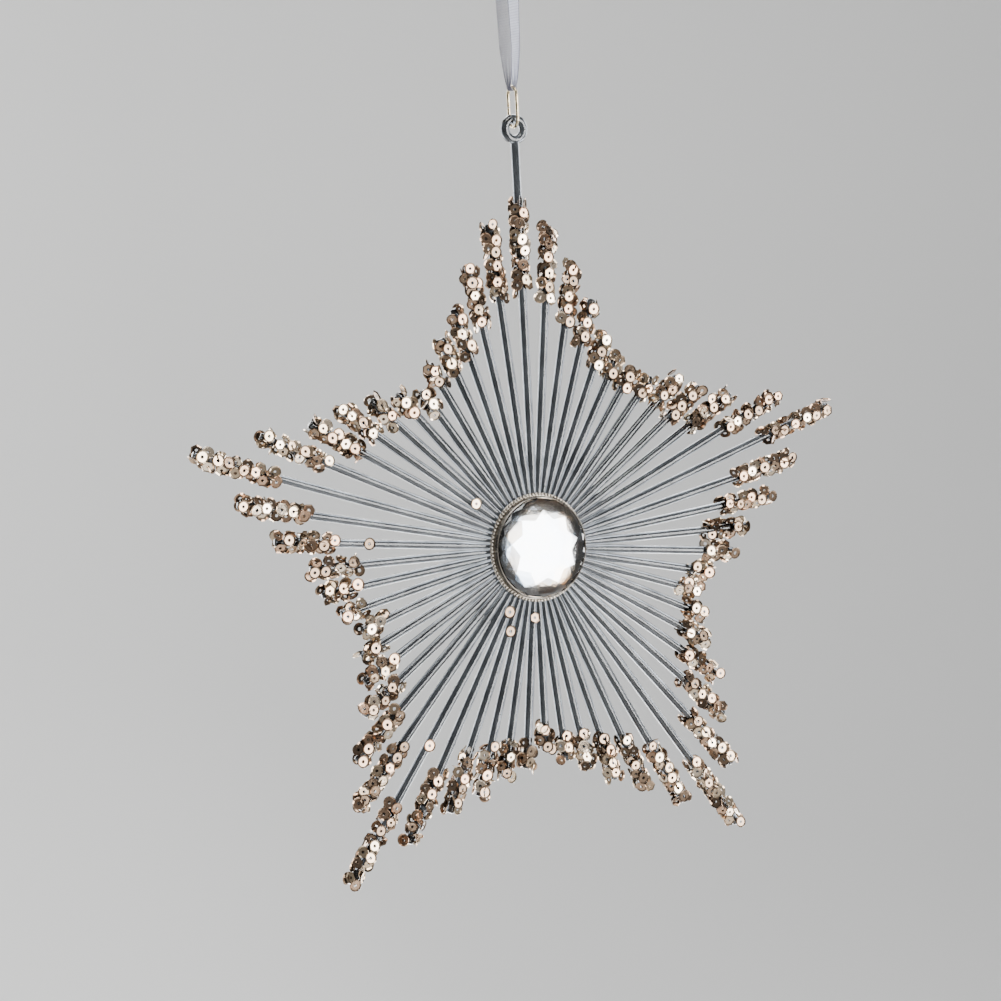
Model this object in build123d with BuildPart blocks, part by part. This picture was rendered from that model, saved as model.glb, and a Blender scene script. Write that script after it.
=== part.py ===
from build123d import *
import math
import os
import random

os.makedirs("parts", exist_ok=True)

# Hanging starburst ornament. Millimetres, +Z up, front towards -Y.
# The origin is the middle of the hook that carries the ribbon loop, so the star hangs below it.

# --- hook, ribbon and knot ---
hook_dia = 3.0            # the hook or twig that the loop is made for
hook_clear = 0.4          # between the hook and the ribbon on each side
ribbon_width = 6.0
ribbon_thick = 0.3
ribbon_drop = 37.0        # hook to the wire at the top of the link
knot_rise = 3.2           # hook to the underside of the knot
knot_size = 5.0
knot_length = 7.0
knot_round = 1.9
tail_length = 9.0
tail_lean = 16.0          # degrees each cut end leans out
fold_width = 2.0          # the ribbon is gathered where it goes through the link
fold_clear = 0.12         # between the wire and the edges of the gathered ribbon
fold_flat = 0.06          # straight stretch between the two bends under the wire
waist_width = 3.6         # the gathered ribbon has opened to this
waist_height = 2.25       # at this height above the link
gather_height = 9.0       # and has its full width at this one
twist_gap = 0.3           # between the still and the twisting length of ribbon
twist_height = 12.0       # link to that gap

# --- wire link ---
wire_dia = 0.8
link_width = 5.0          # over the wire
link_height = 10.8        # over the wire
link_butt = 0.15          # gap where the ends of the wire meet

# --- moulded starburst ---
rod_dia = 2.2
rod_count = 60
rod_end_round = 0.5
tip_radius = 97.5         # hub centre to the sequins at an arm's tip
valley_radius = 53.0      # hub centre to the sequins between two arms
top_radius = 88.0         # the top arm is shorter, because its rod runs on as the stem
stem_bare = 17.0          # bare stem from its sequins to the eye's centre
length_scatter = 1.6      # rods between the tips differ from the star's sides by up to this
end_cover = 0.9           # sequins reach this far past a rod's end
boss_radius = 12.6
rib_inside = 1.26         # ribs begin this far inside the boss's rim
rib_clear = 1.03          # keeps the tapered ribs a hair apart where they crowd round the hub
eye_dia = 7.5
eye_thick = 2.4
eye_hole_dia = 2.9
eye_round = 0.5
eye_fit = 0.05            # running fit of the eye on the wire

# --- sequins ---
sequin_dia = 3.0
sequin_hole_dia = 0.7
sequin_thick = 0.2
sequin_gap = 0.1          # between neighbours
glue_line = 0.05
side_turn = 60.0          # degrees round the rod from its front to the sequins at its sides
tip_cover = 25.0          # length of rod that is covered at a tip
valley_cover = 9.4        # and between two arms
cover_run = 0.8           # share of the way to the valley over which the cover shortens

# --- gem and its setting ---
gem_dia = 25.1
gem_girdle = 2.0          # straight band that sits in the cup
gem_crown = 1.8
gem_table_dia = 15.8
gem_sides = 18
gem_fit = 0.1
foil_thick = 0.1
cup_wall = 0.3
cup_floor = 0.3
foot_width = 0.9          # the cup's foot stands out this far
foot_thick = 0.3
bead_count = 92
bead_dia = 0.8
bead_stand = 0.5          # bead centres outside the cup's wall
bead_lift = 0.55          # bead centres above the rods' front

arm_names = ["top", "left", "lower_left", "lower_right", "right"]

# --- worked out from the above ---
wire_radius = wire_dia / 2
rod_radius = rod_dia / 2
step_angle = 360 / rod_count
rods_per_arm = rod_count // len(arm_names)
half_arm = 180 / len(arm_names)          # degrees from an arm's middle to a valley
bend_radius = (link_width - wire_dia) / 2
link_top_z = -ribbon_drop
upper_bend_z = link_top_z - bend_radius
lower_bend_z = link_top_z - (link_height - wire_dia) + bend_radius
inner_bend = bend_radius - wire_radius
eye_top_z = lower_bend_z - math.sqrt(inner_bend**2 - (eye_thick / 2) ** 2) + eye_fit
eye_z = eye_top_z - eye_hole_dia / 2
eye_drop = top_radius + stem_bare
hub_z = eye_z - eye_drop
hub = Vector(0, 0, hub_z)
front = Vector(0, -1, 0)
star_plane = Plane(origin=hub, x_dir=(1, 0, 0), z_dir=front)


def outward(index):
    """Direction of a rod, counted anticlockwise from the top one, seen from the front."""
    angle = math.radians(90 + step_angle * index)
    return Vector(math.cos(angle), 0, math.sin(angle))


def off_arm(index):
    """Angle in degrees between a rod and the nearest arm's middle."""
    nearest = round(index / rods_per_arm) * rods_per_arm
    return abs(index - nearest) * step_angle


def star_radius(index):
    """Radius of a straight-sided star at a rod."""
    half = math.radians(half_arm)
    side = math.atan2(
        valley_radius * math.sin(half), tip_radius - valley_radius * math.cos(half)
    )
    return tip_radius * math.sin(side) / math.sin(side + math.radians(off_arm(index)))


def covered(index):
    """Length of a rod that carries sequins."""
    share = off_arm(index) / half_arm
    return tip_cover + (valley_cover - tip_cover) * min(1.0, share / cover_run)


scatter = random.Random(11)
reaches = [star_radius(k) + scatter.uniform(-length_scatter, length_scatter) for k in range(rod_count)]
for tip in range(0, rod_count, rods_per_arm):
    reaches[tip] = tip_radius
reaches[0] = top_radius

# ---------------------------------------------------------------- clear starburst
rib_radius = rib_clear * rod_radius / math.sin(math.radians(step_angle / 2))   # ribs taper inside this


def make_rod(index, end):
    """One rod: a rib that tapers into the hub, then a round bar with a softened end."""
    start = boss_radius - rib_inside
    way = outward(index)
    with BuildPart() as rod:
        with BuildSketch(Plane(origin=hub, x_dir=way, z_dir=way.cross(front))):
            with BuildLine():
                Polyline(
                    (start, 0),
                    (start, rod_radius * start / rib_radius),
                    (rib_radius, rod_radius),
                    (end - rod_end_round, rod_radius),
                    (end, rod_radius - rod_end_round),
                    (end, 0),
                    close=True,
                )
            make_face()
        revolve(axis=Axis(hub, way))
    return rod.part


stem_end = eye_drop - (eye_dia + eye_hole_dia) / 4      # half way into the eye's wall
rods = [make_rod(0, stem_end)]
rods += [make_rod(k, reaches[k] - end_cover) for k in range(1, rod_count)]

with BuildPart() as eye:
    with BuildSketch(Plane(origin=(0, eye_thick / 2, eye_z), x_dir=(1, 0, 0), z_dir=front)):
        Circle(eye_dia / 2)
        Circle(eye_hole_dia / 2, mode=Mode.SUBTRACT)
    extrude(amount=eye_thick)
    fillet(eye.edges().filter_by(GeomType.CIRCLE).group_by(SortBy.RADIUS)[-1], radius=eye_round)

with BuildPart() as clear_starburst:
    with BuildSketch(star_plane.offset(-rod_radius)):
        Circle(boss_radius)
    extrude(amount=rod_dia)
    add(rods)
    add(eye.part)
clear_starburst.part.label = "clear_starburst"
export_step(clear_starburst.part, "parts/clear_starburst.step")

# ---------------------------------------------------------------- sequins
with BuildPart() as sequin:
    with BuildSketch():
        Circle(sequin_dia / 2)
        Circle(sequin_hole_dia / 2, mode=Mode.SUBTRACT)
    extrude(amount=sequin_thick)

tier_pitch = sequin_dia + sequin_gap
seat = rod_radius + glue_line                       # underside of a sequin glued to the rod
side_sine = math.sin(math.radians(side_turn))
side_cosine = math.cos(math.radians(side_turn))
side_reach = (seat + sequin_thick) * side_sine + sequin_dia / 2 * side_cosine
over_seat = (seat + sequin_thick) * side_cosine + sequin_dia / 2 * side_sine + glue_line


def sequin_place(index, radius, turn, height):
    """Plane of a sequin: turned about its rod from the front, its underside at a height."""
    way = outward(index)
    across = way.cross(front)
    angle = math.radians(turn)
    normal = front * math.cos(angle) + across * math.sin(angle)
    return Plane(origin=hub + way * radius + normal * height, x_dir=way, z_dir=normal)


def rod_sequins(index):
    """Places of the sequins on one rod, in tiers from its end inwards."""
    places = []
    tiers = int(covered(index) / tier_pitch)
    for tier in range(tiers):
        radius = reaches[index] - sequin_dia / 2 - tier * tier_pitch
        room = 2 * radius * math.sin(math.radians(step_angle / 2)) - sequin_gap
        face = 180 * ((index + tier) % 2)
        if room > 2 * side_reach:
            for turn in (side_turn, 180, -side_turn):
                places.append(sequin_place(index, radius, face + turn, seat))
            places.append(sequin_place(index, radius, face, over_seat))
        elif room > sequin_dia:
            places += [sequin_place(index, radius, turn, seat) for turn in (0, 180)]
    return places


def write_sequins(name, indexes):
    """One node: the sequins of a few neighbouring rods, each a solid of its own."""
    with BuildPart() as group:
        with Locations([place for k in indexes for place in rod_sequins(k % rod_count)]):
            add(sequin.part)
    group.part.label = name
    export_step(group.part, "parts/" + name + ".step")
    return len(group.part.solids())


sequin_total = 0
for number, arm in enumerate(arm_names):
    middle = number * rods_per_arm
    following = arm_names[(number + 1) % len(arm_names)]
    sequin_total += write_sequins(f"sequins_{arm}_tip", range(middle - 1, middle + 2))
    sequin_total += write_sequins(f"sequins_{arm}_left_flank", range(middle + 2, middle + 5))
    sequin_total += write_sequins(f"sequins_{arm}_right_flank", range(middle - 4, middle - 1))
    sequin_total += write_sequins(f"sequins_valley_{arm}_{following}", range(middle + 5, middle + 8))


def rib_seat(radius):
    """Height of a sequin that lies flat on a rod's front, which falls off near the hub."""
    share = (radius + sequin_dia / 2) / rib_radius
    return rod_radius * min(1.0, share) + glue_line


# a few that went astray and stuck near the hub: rod, radius
strays = [(9, 21.0), (26, 22.4), (24, 57.4), (14, 47.5), (29, 17.8), (25, 18.0)]
with BuildPart() as stray_sequins:
    with Locations([sequin_place(index, radius, 0, rib_seat(radius)) for index, radius in strays]):
        add(sequin.part)
stray_sequins.part.label = "stray_sequins"
export_step(stray_sequins.part, "parts/stray_sequins.step")

# ---------------------------------------------------------------- gem, foil and cup
cup_inner = gem_dia / 2 + gem_fit
cup_outer = cup_inner + cup_wall
gem_seat = rod_radius + cup_floor + foil_thick

with BuildPart() as gem_cup:
    with BuildSketch(star_plane.offset(rod_radius)):
        Circle(cup_outer)
    extrude(amount=cup_floor + foil_thick + gem_girdle)
    with BuildSketch(star_plane.offset(rod_radius + cup_floor)):
        Circle(cup_inner)
    extrude(amount=foil_thick + gem_girdle, mode=Mode.SUBTRACT)
    with BuildSketch(star_plane.offset(rod_radius)):
        Circle(cup_outer + foot_width)
        Circle(cup_inner, mode=Mode.SUBTRACT)
    extrude(amount=foot_thick)
    with Locations(star_plane.offset(rod_radius + bead_lift)):
        with PolarLocations(cup_outer + bead_stand, bead_count):
            Sphere(bead_dia / 2)
gem_cup.part.label = "gem_cup"
export_step(gem_cup.part, "parts/gem_cup.step")

with BuildPart() as gem_foil:
    with BuildSketch(star_plane.offset(rod_radius + cup_floor)):
        Circle(gem_dia / 2)
    extrude(amount=foil_thick)
gem_foil.part.label = "gem_foil"
export_step(gem_foil.part, "parts/gem_foil.step")

with BuildPart() as gem:
    with BuildSketch(star_plane.offset(gem_seat)):
        Circle(gem_dia / 2)
    extrude(amount=gem_girdle)
    with BuildSketch(star_plane.offset(gem_seat + gem_girdle)):
        RegularPolygon(gem_dia / 2, gem_sides)
    with BuildSketch(star_plane.offset(gem_seat + gem_girdle + gem_crown)):
        RegularPolygon(gem_table_dia / 2, gem_sides)
    loft()
gem.part.label = "gem"
export_step(gem.part, "parts/gem.step")

# ---------------------------------------------------------------- wire link
with BuildPart() as wire_link:
    with BuildLine(Plane.YZ) as wire:
        middle_z = (upper_bend_z + lower_bend_z) / 2
        Line((bend_radius, middle_z + link_butt / 2), (bend_radius, upper_bend_z))
        ThreePointArc((bend_radius, upper_bend_z), (0, link_top_z), (-bend_radius, upper_bend_z))
        Line((-bend_radius, upper_bend_z), (-bend_radius, lower_bend_z))
        ThreePointArc(
            (-bend_radius, lower_bend_z), (0, lower_bend_z - bend_radius), (bend_radius, lower_bend_z)
        )
        Line((bend_radius, lower_bend_z), (bend_radius, middle_z - link_butt / 2))
    with BuildSketch(Plane(origin=(0, bend_radius, middle_z + link_butt / 2), z_dir=(0, 0, 1))):
        Circle(wire_radius)
    sweep(path=wire.wire())
wire_link.part.label = "wire_link"
export_step(wire_link.part, "parts/wire_link.step")

# ---------------------------------------------------------------- ribbon and knot
wire_dip = bend_radius - math.sqrt(bend_radius**2 - (fold_width / 2) ** 2)   # of the bend, at the fold's edge
fold_radius = wire_radius + wire_dip + fold_clear + ribbon_thick / 2
fold_turn = fold_radius - fold_flat / 2
fold_z = link_top_z - fold_radius
leg_spread = hook_dia / 2 + ribbon_thick / 2 + hook_clear
loop_top_z = knot_rise + ribbon_thick
route = [
    (-ribbon_thick, loop_top_z),
    (-leg_spread, 0),
    (-fold_radius, fold_z),
    (fold_radius, fold_z),
    (leg_spread, 0),
    (ribbon_thick, loop_top_z),
]

with BuildPart() as ribbon:
    with BuildSketch(Plane.XZ):
        with BuildLine() as ribbon_line:
            FilletPolyline(*route, radius=[hook_dia / 2, fold_turn, fold_turn, hook_dia / 2])
        trace(line_width=ribbon_thick)
    extrude(amount=ribbon_width / 2, both=True)
    with BuildSketch(Plane.YZ):
        with BuildLine():
            Polyline(
                (-fold_width / 2, fold_z - fold_radius),
                (-fold_width / 2, link_top_z),
                (-waist_width / 2, link_top_z + waist_height),
                (-ribbon_width / 2, link_top_z + gather_height),
                (-ribbon_width / 2, knot_rise),
                (ribbon_width / 2, knot_rise),
                (ribbon_width / 2, link_top_z + gather_height),
                (waist_width / 2, link_top_z + waist_height),
                (fold_width / 2, link_top_z),
                (fold_width / 2, fold_z - fold_radius),
                close=True,
            )
        make_face()
    extrude(amount=2 * leg_spread, both=True, mode=Mode.INTERSECT)

twist_z = link_top_z + twist_height
with BuildPart() as ribbon_legs:
    add(ribbon.part)
    split(bisect_by=Plane.XY.offset(twist_z + twist_gap / 2), keep=Keep.TOP)
ribbon_legs.part.label = "ribbon_legs"
export_step(ribbon_legs.part, "parts/ribbon_legs.step")

with BuildPart() as ribbon_fold:
    add(ribbon.part)
    split(bisect_by=Plane.XY.offset(twist_z - twist_gap / 2), keep=Keep.BOTTOM)
ribbon_fold.part.label = "ribbon_fold"
export_step(ribbon_fold.part, "parts/ribbon_fold.step")

knot_top = knot_rise + knot_size
with BuildPart() as ribbon_knot:
    with BuildSketch(Plane.XY.offset(knot_rise)):
        Rectangle(knot_size, knot_length)
    extrude(amount=knot_size)
    fillet(ribbon_knot.edges(), radius=knot_round)
    for side in (-1, 1):
        lean = math.radians(side * tail_lean)
        start_x = side * ribbon_thick
        start_z = knot_top - knot_round / 2
        end_x = start_x + tail_length * math.sin(lean)
        end_z = start_z + tail_length * math.cos(lean)
        with BuildSketch(Plane.XZ):
            with BuildLine():
                Line((start_x, start_z), (end_x, end_z))
            trace(line_width=ribbon_thick)
        extrude(amount=ribbon_width / 2, both=True)
ribbon_knot.part.label = "ribbon_knot"
export_step(ribbon_knot.part, "parts/ribbon_knot.step")

ribbon_length = sum(edge.length for edge in ribbon_line.edges())
print("ribbon length", round(ribbon_length, 1), "bend radii", hook_dia / 2, round(fold_turn, 2))
print("sequins", sequin_total, "hub z", round(hub_z, 3), "eye z", round(eye_z, 3))
print("link top z", link_top_z, "lower bend z", lower_bend_z, "twist z", twist_z)
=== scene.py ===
import math
import random

import bmesh
import bpy
import numpy as np
from mathutils import Matrix, Vector


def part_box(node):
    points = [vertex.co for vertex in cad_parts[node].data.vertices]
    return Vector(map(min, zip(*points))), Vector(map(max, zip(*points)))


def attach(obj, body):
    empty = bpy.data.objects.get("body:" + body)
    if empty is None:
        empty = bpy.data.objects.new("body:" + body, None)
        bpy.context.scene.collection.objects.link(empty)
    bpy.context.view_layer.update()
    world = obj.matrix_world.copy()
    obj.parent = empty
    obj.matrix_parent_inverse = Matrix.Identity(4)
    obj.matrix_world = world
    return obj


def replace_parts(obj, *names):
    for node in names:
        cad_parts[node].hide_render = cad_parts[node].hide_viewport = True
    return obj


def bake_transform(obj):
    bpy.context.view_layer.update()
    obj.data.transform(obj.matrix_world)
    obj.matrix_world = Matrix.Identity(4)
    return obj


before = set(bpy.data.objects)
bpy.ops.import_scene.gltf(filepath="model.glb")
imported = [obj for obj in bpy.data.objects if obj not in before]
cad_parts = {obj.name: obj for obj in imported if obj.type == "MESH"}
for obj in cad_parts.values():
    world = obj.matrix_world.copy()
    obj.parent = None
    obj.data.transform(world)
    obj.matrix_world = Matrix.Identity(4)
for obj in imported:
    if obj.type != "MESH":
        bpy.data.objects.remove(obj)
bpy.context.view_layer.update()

# ------------------------------------------------------------------ clear starburst
# One injection moulding in clear acrylic: a round boss, sixty round rods that run out of it and
# taper where they crowd together, and the top rod carried on as a stem with an eye.

MM = 0.001
ROD_COUNT = 60
ROD_SIDES = 20
STEP = 2 * math.pi / ROD_COUNT
BOSS_RADIUS = 12.6 * MM
RIB_INSIDE = 1.26 * MM
RIB_GAP = 1.03
ROD_ROUND = 0.5 * MM
ROD_RADIUS = 1.1 * MM
RIB_RADIUS = RIB_GAP * ROD_RADIUS / math.sin(STEP / 2)
BOSS_SIDES = 120
BOSS_ROUND = 0.2 * MM
EYE_RADIUS = 3.75 * MM
EYE_HOLE = 1.45 * MM
TO_FRONT = Vector((0, -1, 0))

gem_low, gem_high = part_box("gem")
HUB = Vector((0.0, 0.0, (gem_low.z + gem_high.z) / 2))


def outward(index):
    """Direction of a rod, counted anticlockwise from the stem, seen from the front."""
    angle = math.pi / 2 + STEP * index
    return Vector((math.cos(angle), 0.0, math.sin(angle)))


def rod_end(index):
    """Distance from the hub to a moulded rod's end: the farthest frame vertex near its axis."""
    way = np.array(outward(index))
    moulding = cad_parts["clear_starburst"].data
    spots = np.array([vertex.co for vertex in moulding.vertices]) - np.array(HUB)
    along = spots @ way
    aside = np.linalg.norm(spots - along[:, None] * way, axis=1)
    return float(along[aside < 1.2 * ROD_RADIUS].max())


def select(*pieces):
    """Selects these pieces and no others, the first of them active."""
    bpy.ops.object.select_all(action="DESELECT")
    for piece in pieces:
        piece.select_set(True)
    if pieces:
        bpy.context.view_layer.objects.active = pieces[0]


def added(name, data):
    """A new object in the scene."""
    made = bpy.data.objects.new(name, data)
    bpy.context.collection.objects.link(made)
    return made


def pick(test, what="faces"):
    """In edit mode, selects the faces or vertices whose middle passes a test."""
    mesh = bmesh.from_edit_mesh(bpy.context.object.data)
    bpy.ops.mesh.select_mode(type="FACE" if what == "faces" else "VERT")
    bpy.ops.mesh.select_all(action="DESELECT")
    for part in getattr(mesh, what):
        middle = part.calc_center_median() if what == "faces" else part.co
        part.select_set(test(middle))
    mesh.select_flush_mode()
    bmesh.update_edit_mesh(bpy.context.object.data)


def settle(piece, name):
    """Puts a finished piece's place into its mesh, with its normals outwards, and names it."""
    piece.data.transform(piece.matrix_world)
    piece.matrix_world = Matrix.Identity(4)
    piece.name = name
    piece.data.name = name
    mesh = bmesh.new()
    mesh.from_mesh(piece.data)
    bmesh.ops.recalc_face_normals(mesh, faces=mesh.faces)
    mesh.to_mesh(piece.data)
    mesh.free()
    return piece


def joined(pieces):
    """Joins pieces into the first of them."""
    select(*pieces)
    bpy.ops.object.join()
    return pieces[0]


def applied(piece, modifier):
    """Applies a modifier to a piece."""
    select(piece)
    bpy.ops.object.modifier_apply(modifier=modifier)


def smooth(piece, degrees):
    """Shades a piece smooth, but for edges sharper than an angle."""
    select(piece)
    bpy.ops.object.shade_smooth_by_angle(angle=math.radians(degrees))


class Wire:
    """A shader socket that works in sums: each operator adds a Math node."""

    def __init__(self, finish, socket):
        self.finish = finish
        self.socket = socket

    def maths(self, operation, *values):
        return self.finish.node("ShaderNodeMath", {"operation": operation}, dict(enumerate(values)))

    def __add__(self, other):
        return self.maths("ADD", self, other)

    def __sub__(self, other):
        return self.maths("SUBTRACT", self, other)

    def __rsub__(self, other):
        return self.maths("SUBTRACT", other, self)

    def __mul__(self, other):
        return self.maths("MULTIPLY", self, other)

    def above(self, other):
        return self.maths("GREATER_THAN", self, other)

    __radd__ = __add__
    __rmul__ = __mul__


class Finish:
    """A material in the making: a Principled shader, and one way to add any other node."""

    def __init__(self, name, **constants):
        self.material = bpy.data.materials.new(name)
        self.material.use_nodes = True
        self.tree = self.material.node_tree
        self.shader = self.tree.nodes["Principled BSDF"]
        for socket, value in constants.items():
            self.shader.inputs[socket.replace("_", " ")].default_value = value

    def node(self, kind, settings=None, inputs=None, output=0):
        """Adds a node, its settings first, then its inputs, and gives one of its outputs."""
        made = self.tree.nodes.new(kind)
        for setting, value in (settings or {}).items():
            if setting == "stops":
                ramp = made.color_ramp
                while len(ramp.elements) < len(value):
                    ramp.elements.new(0.5)
                for element, (place, colour) in zip(ramp.elements, value):
                    element.position = place
                    element.color = (*colour, 1.0)
            else:
                setattr(made, setting, value)
        for socket, value in (inputs or {}).items():
            self.join(value, made.inputs[socket])
        return Wire(self, made.outputs[output])

    def join(self, value, socket):
        if isinstance(value, Wire):
            self.tree.links.new(value.socket, socket)
        else:
            socket.default_value = value

    def feed(self, socket, value):
        self.join(value, self.shader.inputs[socket])

    def place(self):
        """Where a point is on the piece, in metres."""
        return self.node("ShaderNodeTexCoord", output="Object")

    def noise(self, scale, detail):
        inputs = {"Vector": self.place(), "Scale": scale, "Detail": detail}
        return self.node("ShaderNodeTexNoise", None, inputs)

    def ramp(self, value, *stops):
        return self.node("ShaderNodeValToRGB", {"stops": stops}, {"Fac": value})

    def mix(self, share, first, second, way="MIX"):
        """Mixes two colours."""
        settings = {"data_type": "RGBA", "blend_type": way}
        return self.node("ShaderNodeMix", settings, {0: share, 6: first, 7: second}, output=2)

    def bump(self, height, strength, distance):
        inputs = {"Height": height, "Strength": strength, "Distance": distance}
        self.feed("Normal", self.node("ShaderNodeBump", None, inputs))

    def onto(self, piece):
        piece.data.materials.clear()
        piece.data.materials.append(self.material)


acrylic = Finish("clear_acrylic", IOR=1.49, Transmission_Weight=1.0)
flow = acrylic.noise(140, 3.0)
# the base colour is painted almost black: painted shade for the dark surroundings seen through the
# clear rods, with a little random variation
acrylic.feed("Base Color", acrylic.ramp(
    flow, (0.35, (0.038, 0.042, 0.047)), (0.65, (0.090, 0.098, 0.108)),
))
acrylic.feed("Roughness", 0.01 + 0.05 * flow)
acrylic.bump(acrylic.noise(300, 2.0), 0.02, 0.0004)

# one rod, standing on the hub's middle, to be copied round it
ROD_START = BOSS_RADIUS - RIB_INSIDE
ROD_MODEL_END = 60 * MM
select()
bpy.ops.mesh.primitive_cylinder_add(
    vertices=ROD_SIDES, radius=ROD_RADIUS, depth=ROD_MODEL_END - ROD_START,
    location=(0, 0, (ROD_MODEL_END + ROD_START) / 2),
)
rod = bpy.context.object
bpy.ops.object.transform_apply(location=True)
bpy.ops.object.mode_set(mode="EDIT")
bpy.ops.mesh.select_all(action="SELECT")
bpy.ops.mesh.bisect(plane_co=(0, 0, RIB_RADIUS), plane_no=(0, 0, 1))
pick(lambda middle: middle.z < ROD_START + 0.1 * MM)
taper = ROD_START / RIB_RADIUS
bpy.ops.transform.resize(value=(taper, taper, 1))
pick(lambda middle: middle.z > ROD_MODEL_END - 0.01 * MM)
bpy.ops.mesh.bevel(offset=ROD_ROUND, segments=3, affect="EDGES")
bpy.ops.object.mode_set(mode="OBJECT")

star_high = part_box("clear_starburst")[1]
eye_centre = Vector((0, 0, star_high.z - EYE_RADIUS))
rod_ends = [rod_end(number) for number in range(ROD_COUNT)]
stem_end = eye_centre.z - HUB.z - (EYE_RADIUS + EYE_HOLE) / 2

rods = []
for number in range(ROD_COUNT):
    way = outward(number)
    turn = Matrix((way.cross(TO_FRONT), TO_FRONT, way)).transposed().to_4x4()
    copy = added(f"rod_{number}", rod.data.copy())
    longer = (rod_ends[number] if number else stem_end) - ROD_MODEL_END
    for vertex in copy.data.vertices:
        if vertex.co.z > RIB_RADIUS + 2 * MM:
            vertex.co.z += longer
    copy.data.transform(Matrix.Translation(HUB) @ turn)
    rods.append(copy)
rods = joined(rods)
bpy.data.objects.remove(rod)

# the eye at the top of the stem, a soft ring
select()
bpy.ops.mesh.primitive_torus_add(
    location=eye_centre, rotation=(math.pi / 2, 0, 0),
    major_radius=(EYE_RADIUS + EYE_HOLE) / 2, minor_radius=(EYE_RADIUS - EYE_HOLE) / 2,
    major_segments=48, minor_segments=20,
)
eye = bpy.context.object

# the boss in the middle, which the rods run out of
select()
bpy.ops.mesh.primitive_cylinder_add(
    vertices=BOSS_SIDES, radius=BOSS_RADIUS, depth=2 * ROD_RADIUS,
    location=HUB, rotation=(math.pi / 2, 0, 0),
)
hub = bpy.context.object
bpy.ops.object.transform_apply(location=True, rotation=True)
bpy.ops.object.mode_set(mode="EDIT")
pick(lambda middle: abs(middle.y) > 0.9 * ROD_RADIUS)
bpy.ops.mesh.bevel(offset=BOSS_ROUND, segments=2, affect="EDGES")
bpy.ops.object.mode_set(mode="OBJECT")
for other in (rods, eye):
    union = hub.modifiers.new("union", "BOOLEAN")
    union.operation = "UNION"
    union.solver = "EXACT"
    union.object = other
    applied(hub, "union")
    bpy.data.objects.remove(other)
starburst = settle(hub, "starburst_moulding")
smooth(starburst, 21)
acrylic.onto(starburst)
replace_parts(starburst, "clear_starburst")
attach(starburst, "star")

# ------------------------------------------------------------------ cup sequins
# Small cups stamped from metallised polyester film, champagne to rose gold, each with a hole in
# its middle. They are tipped over the outer part of every rod in wet glue, so they lie at all
# angles and partly over each other.

SEQUIN_RADIUS = 1.5 * MM
SEQUIN_HOLE = 0.40 * MM
SEQUIN_FLOOR = 1.18 * MM
SEQUIN_DEPTH = 0.22 * MM
FILM = 0.09 * MM
END_COVER = 0.9 * MM
TIP_COVER = 25.0 * MM
VALLEY_COVER = 9.4 * MM
COVER_RUN = 0.8
SEQUIN_STEP = 1.15 * MM
SPREAD = 1.75 * MM
TIER_TURNS = [math.radians(turn) for turn in (0, 58, -58)]
TURN_SCATTER = 0.45
ALONG_SCATTER = 0.5 * MM
STEP_SCATTER = 0.2 * MM
FRONT_PROUD = 0.45 * MM
SIDE_PROUD = 0.2 * MM
FRONT_TILT = 0.2
SIDE_TILT = 0.6
LOOSE_SHARE = 0.12
LOOSE_LEAN = 0.65
FRONT_LEAN = 0.09
SIDE_LEAN = 0.2
FACETED_SHARE = 0.3
SIZES = (0.94, 1.1)
RODS_PER_ARM = 12
ARMS = ["top", "left", "lower_left", "lower_right", "right"]


def thickened(piece, thickness):
    """Makes a closed wall of a sheet, half of its thickness to each side."""
    wall = piece.modifiers.new("wall", "SOLIDIFY")
    wall.thickness = thickness
    wall.offset = 0
    applied(piece, "wall")


def sequin_model(sides):
    """One cup sequin, open side up, as a closed film with a wall, a floor and a hole."""
    select()
    bpy.ops.mesh.primitive_circle_add(vertices=sides, radius=SEQUIN_RADIUS, fill_type="NGON")
    cup = bpy.context.object
    bpy.ops.object.mode_set(mode="EDIT")
    bpy.ops.mesh.select_mode(type="FACE")
    bpy.ops.mesh.select_all(action="SELECT")
    bpy.ops.transform.translate(value=(0, 0, SEQUIN_DEPTH))
    bpy.ops.mesh.inset(thickness=(SEQUIN_RADIUS - SEQUIN_FLOOR) * math.cos(math.pi / sides))
    bpy.ops.transform.translate(value=(0, 0, -SEQUIN_DEPTH))
    bpy.ops.mesh.inset(thickness=(SEQUIN_FLOOR - SEQUIN_HOLE) * math.cos(math.pi / sides))
    bpy.ops.mesh.delete(type="FACE")
    bpy.ops.object.mode_set(mode="OBJECT")
    thickened(cup, FILM)
    shape = cup.data
    bpy.data.objects.remove(cup)
    return shape


round_cup = sequin_model(12)
faceted_cup = sequin_model(6)

film = Finish("sequin_film", Metallic=0.95, IOR=1.5)
tone = film.node("ShaderNodeAttribute", {"attribute_name": "tone"}, output="Fac")
tint = film.ramp(
    tone,
    (0.0, (0.10, 0.072, 0.050)), (0.25, (0.24, 0.175, 0.125)), (0.5, (0.37, 0.245, 0.165)),
    (0.75, (0.41, 0.33, 0.235)), (1.0, (0.72, 0.62, 0.50)),
)
mottle = film.noise(900, 2.0)
film.feed("Base Color", film.mix(mottle * 0.5, tint, (0.52, 0.40, 0.30, 1), "MULTIPLY"))
film.feed("Roughness", film.noise(500, 3.0) * 0.16 + 0.08)
film.bump(film.noise(1300, 2.0), 0.06, 0.0002)


def off_arm(index):
    """Share of the way from an arm's middle to the valley beside it, 0 to 1."""
    nearest = round(index / RODS_PER_ARM) * RODS_PER_ARM
    return abs(index - nearest) / (RODS_PER_ARM / 2)


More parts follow.
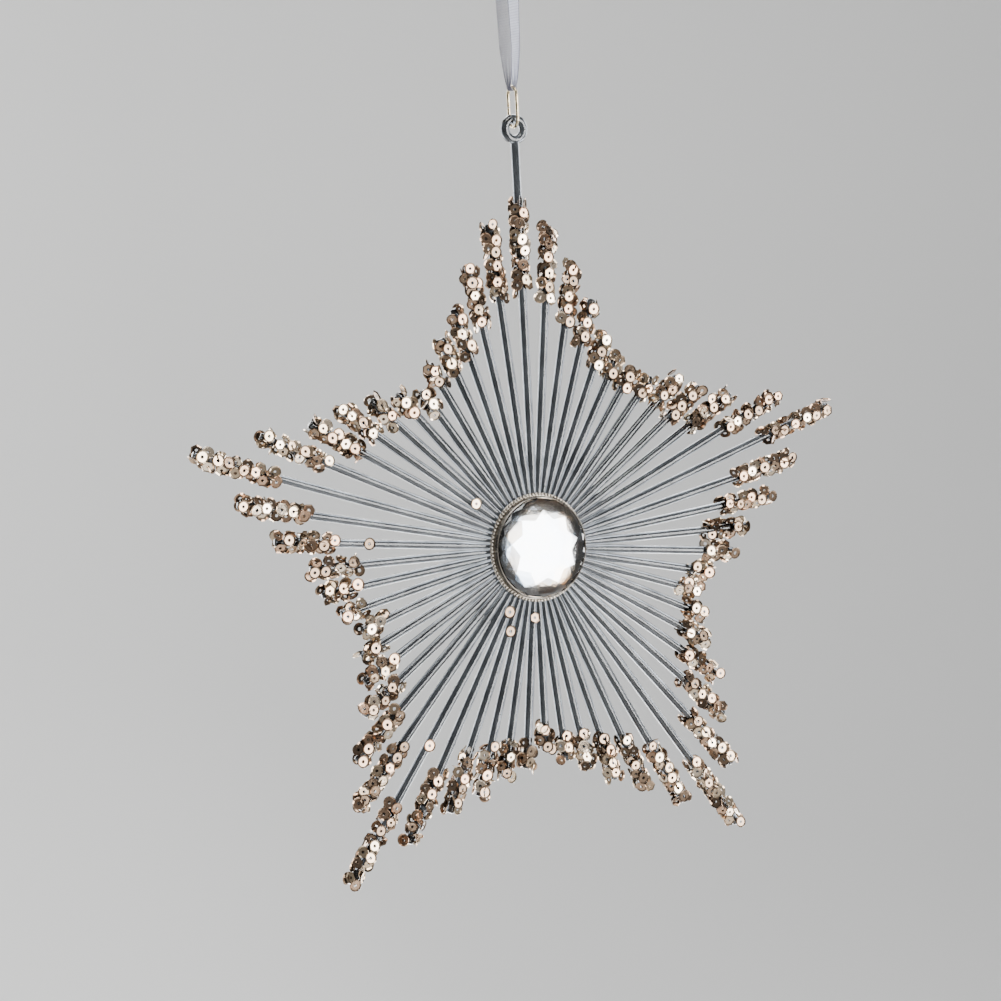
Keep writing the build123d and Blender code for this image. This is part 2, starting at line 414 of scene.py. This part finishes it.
def sequin_places(index, luck):
    """Where the sequins of one rod lie: matrices from the sequin's own frame to the star.

    They go down the rod's front, then its back, by turns in the middle and to each side.
    """
    way = outward(index)
    across = way.cross(TO_FRONT)
    share = min(1.0, off_arm(index) / COVER_RUN)
    covered = TIP_COVER + (VALLEY_COVER - TIP_COVER) * share
    places = []
    for face in (0, math.pi):
        radius = rod_ends[index] + END_COVER - SEQUIN_RADIUS
        row = luck.randrange(3)
        while radius > rod_ends[index] + END_COVER - covered + SEQUIN_RADIUS:
            front = row % 3 == 0
            turn = TIER_TURNS[row % 3] + luck.uniform(-TURN_SCATTER, TURN_SCATTER)
            proud = FRONT_PROUD if front else luck.uniform(0.0, SIDE_PROUD)
            tight = FRONT_LEAN if front else SIDE_LEAN
            loose = LOOSE_LEAN if luck.random() < LOOSE_SHARE else tight
            lean = face + turn * (FRONT_TILT if front else SIDE_TILT) + luck.gauss(0, loose)
            normal = TO_FRONT * math.cos(lean) + across * math.sin(lean)
            spot = HUB + way * (radius + luck.uniform(-ALONG_SCATTER, ALONG_SCATTER))
            spot += across * math.sin(face + turn) * SPREAD
            spot += TO_FRONT * math.cos(face + turn) * (ROD_RADIUS + FILM + proud)
            stand = Matrix((way, normal.cross(way), normal)).transposed().to_4x4()
            nod = Matrix.Rotation(luck.gauss(0, loose), 4, "Y")
            spin = Matrix.Rotation(luck.uniform(0, 2 * math.pi), 4, "Z")
            places.append(Matrix.Translation(spot) @ stand @ nod @ spin)
            radius -= SEQUIN_STEP + luck.uniform(-STEP_SCATTER, STEP_SCATTER)
            row += 1
    return places


def strew(name, places, luck):
    """One mesh of many sequins, each with a tone of its own."""
    mesh = bmesh.new()
    layer = mesh.faces.layers.float.new("tone")
    for place in places:
        before = set(mesh.faces)
        shape = faceted_cup if luck.random() < FACETED_SHARE else round_cup
        one = bmesh.new()
        one.from_mesh(shape)
        one.transform(place @ Matrix.Scale(luck.uniform(*SIZES), 4))
        data = bpy.data.meshes.new("one")
        one.to_mesh(data)
        one.free()
        mesh.from_mesh(data)
        bpy.data.meshes.remove(data)
        value = luck.random()
        for face in set(mesh.faces) - before:
            face[layer] = value
    data = bpy.data.meshes.new(name)
    mesh.to_mesh(data)
    mesh.free()
    piece = added(name, data)
    film.onto(piece)
    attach(piece, "star")
    return piece


# the top rod goes on as the stem, so its sequins end at a reach of their own
TOP_REACH = 88.0 * MM
rod_ends[0] = TOP_REACH - END_COVER
groups = {}
for number, arm in enumerate(ARMS):
    middle = number * RODS_PER_ARM
    groups[f"sequins_{arm}_tip"] = range(middle - 1, middle + 2)
    groups[f"sequins_{arm}_left_flank"] = range(middle + 2, middle + 5)
    groups[f"sequins_{arm}_right_flank"] = range(middle - 4, middle - 1)
    groups[f"sequins_valley_{arm}_{ARMS[(number + 1) % 5]}"] = range(middle + 5, middle + 8)
luck = random.Random(5)
for name, members in groups.items():
    places = [place for member in members for place in sequin_places(member % ROD_COUNT, luck)]
    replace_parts(strew(name + "_cups", places, luck), name)

# ------------------------------------------------------------------ stray sequins
# A few of the same sequins that fell towards the hub and stuck to the inner rods.

# the rod and the distance from the hub, in millimetres
STRAYS = [(9, 21.0), (26, 22.4), (24, 57.4), (14, 47.5), (29, 17.8), (25, 18.0)]
strayed = []
for member, radius in STRAYS:
    way = outward(member)
    front = ROD_RADIUS * min(1.0, (radius * MM + SEQUIN_RADIUS) / RIB_RADIUS)
    spot = HUB + way * radius * MM + Vector((0, -front - FILM, 0))
    strayed.append(Matrix.Translation(spot) @ Matrix.Rotation(math.pi / 2, 4, "X"))
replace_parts(strew("stray_cups", strayed, luck), "stray_sequins")

# ------------------------------------------------------------------ gem cup
# A plated metal cup with a row of fine beads round its foot, glued on the hub's boss.

cup_low, cup_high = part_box("gem_cup")
FOOT_RADIUS = (cup_high.x - cup_low.x) / 2
FOOT_THICK = 0.3 * MM
FOOT_ROUND = 0.1 * MM
GEM_RADIUS = (gem_high.x - gem_low.x) / 2
LIP = 0.4 * MM
CUP_WALL = 0.3 * MM
CUP_SIDES = 120
BEAD_COUNT = 92
BEAD_RADIUS = 0.4 * MM
BEAD_RING = FOOT_RADIUS - 0.4 * MM
BEAD_LIFT = 0.55 * MM


def lathe(sides, profile):
    """A closed turned shape about the hub's axis: its profile as radius and depth."""
    select()
    radius, depth = profile[0]
    bpy.ops.mesh.primitive_circle_add(
        vertices=sides, radius=radius, fill_type="NGON",
        location=(0, depth, HUB.z), rotation=(math.pi / 2, 0, 0),
    )
    piece = bpy.context.object
    bpy.ops.object.transform_apply(location=True, rotation=True)
    bpy.ops.object.mode_set(mode="EDIT")
    bpy.ops.mesh.select_all(action="SELECT")
    for next_radius, next_depth in profile[1:]:
        move = (0, next_depth - depth, 0)
        bpy.ops.mesh.extrude_region_move(TRANSFORM_OT_translate={"value": move})
        share = next_radius / radius
        bpy.ops.transform.resize(value=(share, 1, share))
        radius, depth = next_radius, next_depth
    bpy.ops.object.mode_set(mode="OBJECT")
    return piece


back = cup_high.y
rim = cup_low.y
wall = GEM_RADIUS + LIP
cup = lathe(CUP_SIDES, [
    (FOOT_RADIUS - FOOT_ROUND, back),
    (FOOT_RADIUS, back - FOOT_THICK / 2),
    (FOOT_RADIUS - FOOT_ROUND, back - FOOT_THICK),
    (wall + 0.08 * MM, back - FOOT_THICK),
    (wall, back - FOOT_THICK - 0.1 * MM),
    (wall, rim + 0.2 * MM),
    (wall - 0.08 * MM, rim + 0.05 * MM),
    (wall - 0.2 * MM, rim),
    (wall - CUP_WALL, rim + 0.08 * MM),
    (wall - CUP_WALL, back - FOOT_THICK),
])
beads = []
select()
bpy.ops.mesh.primitive_ico_sphere_add(subdivisions=2, radius=BEAD_RADIUS)
bead = bpy.context.object
for number in range(BEAD_COUNT):
    angle = 2 * math.pi * number / BEAD_COUNT
    aside, up = math.cos(angle) * BEAD_RING, math.sin(angle) * BEAD_RING
    spot = HUB + Vector((aside, back - BEAD_LIFT, up))
    copy = added(f"bead_{number}", bead.data.copy())
    copy.data.transform(Matrix.Translation(spot))
    beads.append(copy)
bpy.data.objects.remove(bead)
cup = settle(joined([cup] + beads), "gem_cup_beaded")
smooth(cup, 40)

plate = Finish("cup_plate", Metallic=1.0)
tarnish = plate.noise(450, 3.0)
plate.feed("Base Color", plate.ramp(tarnish, (0.3, (0.26, 0.235, 0.20)), (0.7, (0.50, 0.46, 0.40))))
plate.feed("Roughness", tarnish * 0.22 + 0.14)
plate.bump(plate.noise(1500, 2.0), 0.12, 0.0002)
plate.onto(cup)
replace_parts(cup, "gem_cup")
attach(cup, "star")

# ------------------------------------------------------------------ gem foil
# Silver foil behind the stone. It throws the light back out through the facets.

EDGE_START = 0.80
EDGE_STEEP = 9

foil = Finish("gem_foil_silver", Metallic=1.0)
centred = foil.node("ShaderNodeMapping", None, {"Vector": foil.place(), "Location": tuple(-HUB)})
from_hub = foil.node("ShaderNodeVectorMath", {"operation": "LENGTH"}, {0: centred}, output="Value")
reach = from_hub * (1 / GEM_RADIUS)
# towards its rim the foil is painted dark: painted shade that darkens the outer facets, its start
# made ragged by noise
edge = (reach - EDGE_START) * EDGE_STEEP + foil.noise(160, 2.0) * 0.8
mirror = foil.ramp(foil.noise(220, 2.0), (0.35, (0.80, 0.86, 0.94)), (0.6, (0.96, 0.96, 0.95)))
painted_shade_rim = foil.ramp(
    foil.noise(110, 1.0),
    (0.35, (0.06, 0.075, 0.10)), (0.5, (0.16, 0.152, 0.136)), (0.65, (0.13, 0.08, 0.045)),
)
foil.feed("Base Color", foil.mix(edge, mirror, painted_shade_rim))
foil.feed("Roughness", foil.noise(300, 3.0) * 0.12 + 0.05)
foil.bump(foil.noise(500, 2.0), 0.15, 0.0004)
foil.onto(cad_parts["gem_foil"])

# ------------------------------------------------------------------ gem
# A round stone of cut glass: table, star facets, kites and girdle facets, nine times round, and
# a nearly flat back cut to match. It is glued into the cup.

FOLD = 9
GEM_FRONT = gem_low.y
FOIL_GAP = 0.03 * MM
FACET_ROUND = 0.06 * MM
BACK_RADIUS = 0.42 * GEM_RADIUS
select()
bpy.ops.mesh.primitive_circle_add(
    vertices=FOLD, radius=BACK_RADIUS, location=(0, gem_high.y - FOIL_GAP, HUB.z),
    rotation=(math.pi / 2, 0, 0),
)
gem = bpy.context.object
bpy.ops.object.mode_set(mode="EDIT")
# sides, radius, depth, and the part of a side that the ring is turned by
rings = [
    (FOLD * 2, GEM_RADIUS, gem_high.y - 0.5 * MM, 0.0),
    (FOLD * 2, GEM_RADIUS, cup_low.y, 0.0),
    (FOLD * 2, 0.935 * GEM_RADIUS, GEM_FRONT + 1.10 * MM, 0.5),
    (FOLD, 0.77 * GEM_RADIUS, GEM_FRONT + 0.36 * MM, 0.0),
    (FOLD, 0.60 * GEM_RADIUS, GEM_FRONT, 0.5),
]
for sides, radius, depth, part in rings:
    bpy.ops.mesh.primitive_circle_add(
        vertices=sides, radius=radius, location=(0, depth, HUB.z),
        rotation=(math.pi / 2, part * 2 * math.pi / sides, 0),
    )
bpy.ops.mesh.select_all(action="SELECT")
bpy.ops.mesh.convex_hull()
bpy.ops.mesh.bevel(offset=FACET_ROUND, segments=1, affect="EDGES")
bpy.ops.object.mode_set(mode="OBJECT")
gem = settle(gem, "gem_cut")

# the table and the star facets are coated and throw white glare; the steeper facets get random base
# colours of blue, brown and grey, painted reflection and painted shade, and the back facets stay
# clear
COATED = 1.0
CLEAR = 0.9
PAINTED_REFLECTION_AND_SHADE_TOP = 0.8
FLAT = math.cos(math.radians(10))
painted_tint_luck = random.Random(7)
facet = gem.data.attributes.new("facet", "FLOAT", "FACE")
for face in gem.data.polygons:
    front = face.normal.y < -FLAT
    back = face.normal.y > FLAT
    facet.data[face.index].value = COATED if front else CLEAR if back else painted_tint_luck.uniform(0, PAINTED_REFLECTION_AND_SHADE_TOP)
crystal = Finish(
    "gem_crystal", IOR=1.58, Transmission_Weight=1.0, Coat_IOR=2.3, Coat_Roughness=0.02
)
facet = crystal.node("ShaderNodeAttribute", {"attribute_name": "facet"}, output="Fac")
# blue, brown and grey on the steep facets are painted reflection and painted shade; white leaves
# the table and the back clear
crystal.feed("Base Color", crystal.ramp(
    facet, (0.0, (0.34, 0.40, 0.47)), (0.2, (0.72, 0.79, 0.86)), (0.4, (0.24, 0.21, 0.18)),
    (0.6, (0.46, 0.34, 0.23)), (0.8, (0.42, 0.44, 0.47)), (0.86, (0.96, 0.98, 1.0)),
))
crystal.feed("Roughness", 0.02 * crystal.noise(200, 2.0))
crystal.feed("Coat Weight", facet.above((COATED + CLEAR) / 2))
crystal.onto(gem)
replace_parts(gem, "gem")
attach(gem, "star")

# ------------------------------------------------------------------ wire link
# An oval link bent from pale gold plated wire, its ends butted on one side. It joins the eye to
# the ribbon.

gilt = Finish("link_gilt", Metallic=1.0)
wear = gilt.noise(900, 3.0)
gilt.feed("Base Color", gilt.ramp(wear, (0.3, (0.27, 0.21, 0.12)), (0.7, (0.55, 0.47, 0.33))))
gilt.feed("Roughness", wear * 0.2 + 0.12)
gilt.bump(gilt.noise(2500, 2.0), 0.1, 0.0001)
gilt.onto(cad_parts["wire_link"])

# ------------------------------------------------------------------ satin ribbon
# One length of grey-lilac satin ribbon, folded through the link, where it bunches up, with both
# ends going up to a knot. The star's weight pulls it straight.

RIBBON_WIDTH = 6.0 * MM
RIBBON_THICK = 0.22 * MM
ACROSS = 17
GATHERED_LEAST = 0.30
GATHERED_OVER = 9 * MM
RUCK_DEPTH = 0.42 * MM
RUCKS = 2.5
CURL_DEPTH = 0.10 * MM

# the line of one leg from the fold up to its cut end, x and z in millimetres, which the other
# leg mirrors
LEG = [
    (0.92, -37.92), (0.95, -36.2), (1.0, -33.5), (1.45, -18.0), (2.05, 0.0), (1.3, 2.1), (0.3, 3.5),
]
route = [(-x, z) for x, z in reversed(LEG)] + LEG
line = bpy.data.curves.new("ribbon_line", "CURVE")
line.dimensions = "3D"
line.resolution_u = 12
spline = line.splines.new("NURBS")
spline.points.add(len(route) - 1)
for point, (x, z) in zip(spline.points, route):
    point.co = (x * MM, 0, z * MM, 1)
spline.order_u = 3
spline.use_endpoint_u = True
line_object = bpy.data.objects.new("ribbon_line", line)
path_mesh = bpy.data.meshes.new_from_object(line_object)
path = [v.co.copy() for v in path_mesh.vertices]
bpy.data.meshes.remove(path_mesh)
bpy.data.objects.remove(line_object)

link_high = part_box("wire_link")[1]
FOLD_MIDDLE = link_high.z - 1.0 * MM


def gathered(z):
    """Share of its full width that the ribbon has at a height above the link."""
    rise = max(0.0, z - link_high.z)
    return GATHERED_LEAST + (1 - GATHERED_LEAST) * min(1.0, rise / GATHERED_OVER) ** 0.7


select()
bpy.ops.mesh.primitive_grid_add(x_subdivisions=ACROSS - 1, y_subdivisions=len(path) - 1, size=1)
ribbon = bpy.context.object
rows = len(path)
for row, point in enumerate(path):
    before = path[max(row - 1, 0)]
    after = path[min(row + 1, rows - 1)]
    along = (after - before).normalized()
    out = along.cross(Vector((0, 1, 0)))
    width = gathered(point.z)
    ruck = (1 - width) * RUCK_DEPTH
    for column in range(ACROSS):
        share = 2 * column / (ACROSS - 1) - 1
        wave = math.cos(share * math.pi * RUCKS) * ruck * 0.35
        curl = (1 - share * share) * CURL_DEPTH
        aside = Vector((0, share * width * RIBBON_WIDTH / 2, 0))
        ribbon.data.vertices[row * ACROSS + column].co = point + aside + out * (wave + curl)
spread = ribbon.data.uv_layers.active.data
for loop in ribbon.data.loops:
    row, column = divmod(loop.vertex_index, ACROSS)
    spread[loop.index].uv = (column / (ACROSS - 1), row / (rows - 1))
thickened(ribbon, RIBBON_THICK)
ribbon = settle(ribbon, "ribbon_satin")
smooth(ribbon, 50)

# the side that faces into the loop is the glossier one, with less roughness, and its colour is
# painted lighter: painted light, with the outer side as painted shade
shiny = ribbon.data.attributes.new("shiny", "FLOAT", "FACE")
for face in ribbon.data.polygons:
    middle = face.center
    nearest = min(path, key=lambda point: abs(point.z - middle.z) + abs(point.x - middle.x))
    inwards = Vector((-nearest.x, 0, max(0.0, FOLD_MIDDLE - nearest.z)))
    shiny.data[face.index].value = 1.0 if face.normal.dot(inwards) > 0 else 0.0


def satin_finish(name, place, along, over):
    """Grey-lilac satin, glossier on one side than the other, the glossy side painted light and the
    other painted dark as painted shade, with threads along and over it.
    """
    satin = Finish(name, Sheen_Weight=0.2, Sheen_Roughness=0.3, Specular_IOR_Level=0.5)
    weave = satin.node("ShaderNodeTexCoord", output=place)
    threads, cross = (
        satin.node(
            "ShaderNodeTexWave", {"bands_direction": way},
            {"Vector": weave, "Scale": scale, "Distortion": 1.5},
        )
        for way, scale in (along, over)
    )
    shade = satin.noise(260, 3.0)
    # the outer side's colour is painted shade, far darker than the inner side's painted light; both
    # are one dyed cloth
    painted_shade_colour = satin.ramp(shade, (0.3, (0.035, 0.035, 0.058)), (0.7, (0.062, 0.062, 0.095)))
    painted_lit_colour = satin.ramp(shade, (0.3, (0.29, 0.31, 0.39)), (0.7, (0.40, 0.42, 0.52)))
    side = satin.node("ShaderNodeAttribute", {"attribute_name": "shiny"}, output="Fac")
    cloth = satin.mix(side, painted_shade_colour, painted_lit_colour)
    satin.feed("Base Color", satin.mix(0.15 * threads, cloth, (0.30, 0.30, 0.37, 1)))
    satin.feed("Roughness", 0.5 - side * 0.15 - 0.1 * cross)
    satin.bump(threads * 0.6 + cross * 0.4, 0.25, 0.0001)
    return satin


satin_finish("satin_ribbon", "UV", ("X", 14.0), ("Y", 90.0)).onto(ribbon)
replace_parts(ribbon, "ribbon_legs", "ribbon_fold")
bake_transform(ribbon)

# ------------------------------------------------------------------ ribbon knot
# The two ends of the ribbon, tied in one knot, with cut tails.

knot_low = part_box("ribbon_knot")[0]
KNOT_BODY = Vector((4.4, 6.4, 4.6)) * MM
KNOT_ROUND = 1.1 * MM
CREASE_DEPTH = 0.16 * MM
CREASES = 2.4 / MM
WAIST_DEPTH = 0.16
WAIST_WIDTH = 1.3 * MM
KNOT_MIDDLE = Vector((0, 0, knot_low.z + KNOT_BODY.z / 2 + 0.1 * MM))
TAIL_LEAN = math.radians(16)
TAIL_LENGTH = 8.4 * MM
TAIL_NOTCH = 1.6 * MM
TAIL_WAVE = 0.2 * MM
TAIL_GATHERED = 0.55
select()
bpy.ops.mesh.primitive_cube_add(size=1, location=KNOT_MIDDLE)
knot = bpy.context.object
knot.scale = KNOT_BODY
bpy.ops.object.transform_apply(location=True, scale=True)
bpy.ops.object.mode_set(mode="EDIT")
bpy.ops.mesh.select_all(action="SELECT")
bpy.ops.mesh.bevel(offset=KNOT_ROUND, segments=3, affect="EDGES")
bpy.ops.mesh.subdivide(number_cuts=3)
bpy.ops.object.mode_set(mode="OBJECT")
for vertex in knot.data.vertices:
    away = vertex.co - KNOT_MIDDLE
    crease = math.sin((away.z * 0.9 + away.y * 0.55) * CREASES) * CREASE_DEPTH
    waist = 1 - WAIST_DEPTH * math.exp(-(away.y / WAIST_WIDTH) ** 2)
    drawn_in = Vector((away.x * waist, away.y, away.z * waist))
    vertex.co = KNOT_MIDDLE + drawn_in + away.normalized() * crease
rounding = knot.modifiers.new("rounding", "SUBSURF")
rounding.levels = 1
rounding.render_levels = 1
applied(knot, "rounding")

tails = []
for side in (-1, 1):
    select()
    bpy.ops.mesh.primitive_grid_add(x_subdivisions=12, y_subdivisions=16, size=1)
    tail = bpy.context.object
    for vertex in tail.data.vertices:
        across = 2 * vertex.co.x
        along = vertex.co.y + 0.5
        gather = TAIL_GATHERED + (1 - TAIL_GATHERED) * min(1.0, along * 2.5)
        notch = TAIL_NOTCH * (1 - abs(across)) * along
        run = along * TAIL_LENGTH - notch
        lean = TAIL_LEAN * (0.5 + 0.5 * along)
        wave = TAIL_WAVE * (math.sin(along * 5 + side) + math.cos(across * 4) * (1 - along))
        vertex.co = Vector((
            side * (0.3 * MM + run * math.sin(lean)) + wave,
            across * gather * RIBBON_WIDTH / 2,
            KNOT_MIDDLE.z + KNOT_BODY.z * 0.35 + run * math.cos(lean),
        ))
    thickened(tail, RIBBON_THICK)
    tails.append(tail)
knot = settle(joined([knot] + tails), "ribbon_knot_tied")
smooth(knot, 50)

# the knot carries no inner-side attribute, so all of it takes the outer side's dark colour, painted
# shade
satin_finish("satin_knot", "Object", ("Y", 1100.0), ("Z", 3000.0)).onto(knot)
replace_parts(knot, "ribbon_knot")
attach(knot, "hanger")

# ------------------------------------------------------------------ floor, light and camera
# A pale floor under the hanging star that sweeps up into a backdrop, soft boxes round it, and a
# camera to the left of its front.

FLOOR_Z = -0.95
FLOOR_SIZE = 8
BACKDROP_Y = 1.9
BACKDROP_HEIGHT = 4
SWEEP = 1.0
select()
bpy.ops.mesh.primitive_plane_add(
    size=FLOOR_SIZE, location=(0, BACKDROP_Y - FLOOR_SIZE / 2, FLOOR_Z)
)
floor = bpy.context.object
bpy.ops.object.transform_apply(location=True)
bpy.ops.object.mode_set(mode="EDIT")
pick(lambda middle: middle.y > BACKDROP_Y - 0.01, "verts")
bpy.ops.mesh.extrude_region_move(TRANSFORM_OT_translate={"value": (0, 0, BACKDROP_HEIGHT)})
pick(lambda middle: middle.y > BACKDROP_Y - 0.01 and middle.z < FLOOR_Z + 0.01, "verts")
bpy.ops.mesh.bevel(offset=SWEEP, segments=24, affect="EDGES")
bpy.ops.object.mode_set(mode="OBJECT")
floor.name = "floor"
smooth(floor, 40)
pale = Finish("pale_floor", Base_Color=(0.80, 0.80, 0.79, 1), Roughness=0.85)
pale.onto(floor)

world = bpy.data.worlds.new("studio")
bpy.context.scene.world = world
world.use_nodes = True
background = world.node_tree.nodes["Background"]
background.inputs["Color"].default_value = (0.80, 0.81, 0.83, 1)
background.inputs["Strength"].default_value = 0.5


def from_side(azimuth, elevation):
    """Direction from the hub to a viewer, in degrees to the right of the front and upwards."""
    a, e = math.radians(azimuth), math.radians(elevation)
    return Vector((math.sin(a) * math.cos(e), -math.cos(a) * math.cos(e), math.sin(e)))


def soft_box(name, azimuth, elevation, distance, width, height, power):
    """An area lamp on a sphere round the hub, facing it, in metres and watts."""
    way = from_side(azimuth, elevation)
    lamp = bpy.data.lights.new(name, "AREA")
    lamp.shape = "RECTANGLE"
    lamp.size, lamp.size_y, lamp.energy = width, height, power
    box = added(name, lamp)
    box.location = HUB + way * distance
    box.rotation_euler = way.to_track_quat("Z", "Y").to_euler()
    box.visible_camera = False


soft_box("key", 29, -3, 1.1, 0.80, 0.80, 40)
soft_box("top", -30, 66, 1.2, 0.8, 0.5, 12)
soft_box("left_edge", -165, 2, 1.2, 0.45, 1.2, 22)
soft_box("right_edge", 107, 2, 1.2, 0.45, 1.2, 22)
soft_box("upper_edge", 151, 42, 1.2, 1.0, 0.45, 20)
soft_box("lower_edge", 151, -38, 0.38, 0.34, 0.14, 2)

AZIMUTH = -29.0
ELEVATION = 4.0
ROLL = 3.0
DISTANCE = 0.72
FOCAL_LENGTH = 102.5
HUB_RIGHT = 8.84 * MM
HUB_DOWN = 11.74 * MM
view = from_side(AZIMUTH, ELEVATION)
lens = bpy.data.cameras.new("camera")
lens.sensor_width = 36
lens.lens = FOCAL_LENGTH
camera = added("camera", lens)
bpy.context.scene.camera = camera
turned = view.to_track_quat("Z", "Y").to_matrix() @ Matrix.Rotation(-math.radians(ROLL), 3, "Z")
right, up = turned.col[0], turned.col[1]
aim = HUB - right * HUB_RIGHT + up * HUB_DOWN
camera.matrix_world = Matrix.Translation(aim + view * DISTANCE) @ turned.to_4x4()
